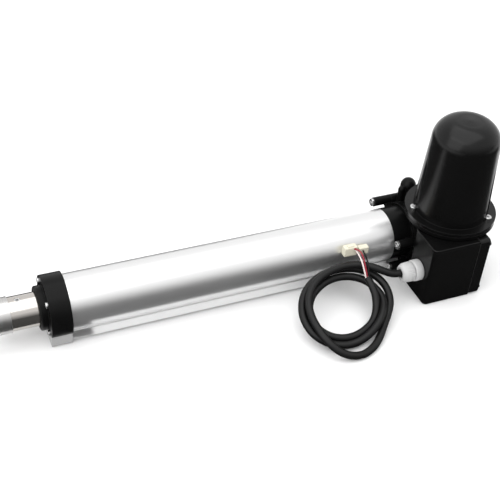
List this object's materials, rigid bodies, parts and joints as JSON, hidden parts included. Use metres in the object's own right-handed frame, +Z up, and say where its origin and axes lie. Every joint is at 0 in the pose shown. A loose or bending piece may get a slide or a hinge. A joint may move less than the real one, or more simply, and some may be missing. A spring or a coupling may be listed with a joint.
{
  "type": "linear actuator",
  "caption": "Screw-driven linear actuator: a rod slides out of a round tube, driven by an upright geared motor with a junction box and a coiled lead.",
  "frame": {"origin": "middle of the body's footprint on the surface it lies on, without its cable", "axes": "+X from the rod end to the gearbox, -Y towards the junction box, +Z up along the motor"},
  "size_m": [0.5846, 0.1848, 0.1996],
  "materials": {
    "tube_aluminium": "satin anodised",
    "rod_steel": "polished stainless steel",
    "rod_end_steel": "machined and zinc plated",
    "black_casting": "black powder coat on a die casting",
    "black_plastic": "satin black moulding",
    "screw_steel": "bright zinc plate",
    "bearing_steel": "ground and polished",
    "shaft_steel": "ground steel",
    "bronze": "machined bronze",
    "copper": "bright copper",
    "rubber_seal": "matt rubber",
    "white_nylon": "natural nylon",
    "grey_nylon": "light grey nylon",
    "board_green": "solder resist",
    "cable_black": "black cable jacket",
    "wire_white": "white insulation",
    "wire_red": "red insulation",
    "connector_nylon": "cream nylon"
  },
  "bodies": {
    "housing": {"outer_tube": "tube_aluminium", "front_cap": "black_casting", "guide_bush": "bronze", "wiper_seal": "rubber_seal", "cap_screws": "screw_steel", "tube_collar": "black_casting", "front_bearing": "bearing_steel", "bearing_retainer": "shaft_steel", "gear_housing": "black_casting", "rear_bearing": "bearing_steel", "rear_cover": "black_casting", "front_frame_screws": "screw_steel", "rear_frame_screws": "screw_steel", "worm_bearings": "bearing_steel", "motor_dome": "black_plastic", "dome_seal": "rubber_seal", "dome_screws": "screw_steel", "motor_can": "shaft_steel", "motor_top_bush": "bronze", "motor_end_plate": "shaft_steel", "motor_tie_bolts": "screw_steel", "motor_magnets": "shaft_steel", "brush_holder": "black_plastic", "motor_brushes": "copper", "box_body": "black_plastic", "box_lid": "black_plastic", "box_gasket": "rubber_seal", "box_cover": "black_plastic", "cover_screws": "screw_steel", "box_mount_screws": "screw_steel", "circuit_board": "board_green", "board_parts": "black_plastic", "gland_body": "grey_nylon", "gland_nut": "grey_nylon", "gland_seal": "rubber_seal", "gland_locknut": "grey_nylon", "cable_lead": "cable_black", "cable_coil": "cable_black", "wire_white": "wire_white", "wire_red": "wire_red", "wire_black": "cable_black", "connector_large": "connector_nylon", "connector_small": "connector_nylon"},
    "rod": {"rod_tube": "rod_steel", "rod_end": "rod_end_steel", "rod_lock_screw": "screw_steel", "drive_nut": "bronze", "nut_pins": "screw_steel", "nut_guide_ring": "white_nylon"},
    "screw": {"lead_screw": "shaft_steel", "screw_spacer": "shaft_steel", "worm_wheel": "bronze", "wheel_key": "shaft_steel", "screw_tip_bush": "white_nylon", "screw_lock_nut": "shaft_steel"},
    "rotor": {"rotor_shaft": "shaft_steel", "worm": "shaft_steel", "armature": "shaft_steel", "windings": "copper", "commutator": "copper"}
  },
  "joints": [
    {"name": "rotor_spin", "type": "hinge", "parent": "housing", "child": "rotor", "pos_m": [0.2415, -0.0085, 0.0363], "axis": [0, 0, 1], "range_deg": [0, 135000]},
    {"name": "screw_spin", "type": "hinge", "parent": "housing", "child": "screw", "pos_m": [0.1797, 0.0239, 0.0363], "axis": [1, 0, 0], "range_deg": [0, 9000]},
    {"name": "rod_slide", "type": "slide", "parent": "housing", "child": "rod", "axis": [-1, 0, 0], "range_m": [0, 0.25]}
  ],
  "couplings": [
    {"joint": "screw_spin", "follows": "rotor_spin", "ratio": 0.066667},
    {"joint": "rod_slide", "follows": "rotor_spin", "m_per_rad": 0.0001061}
  ]
}
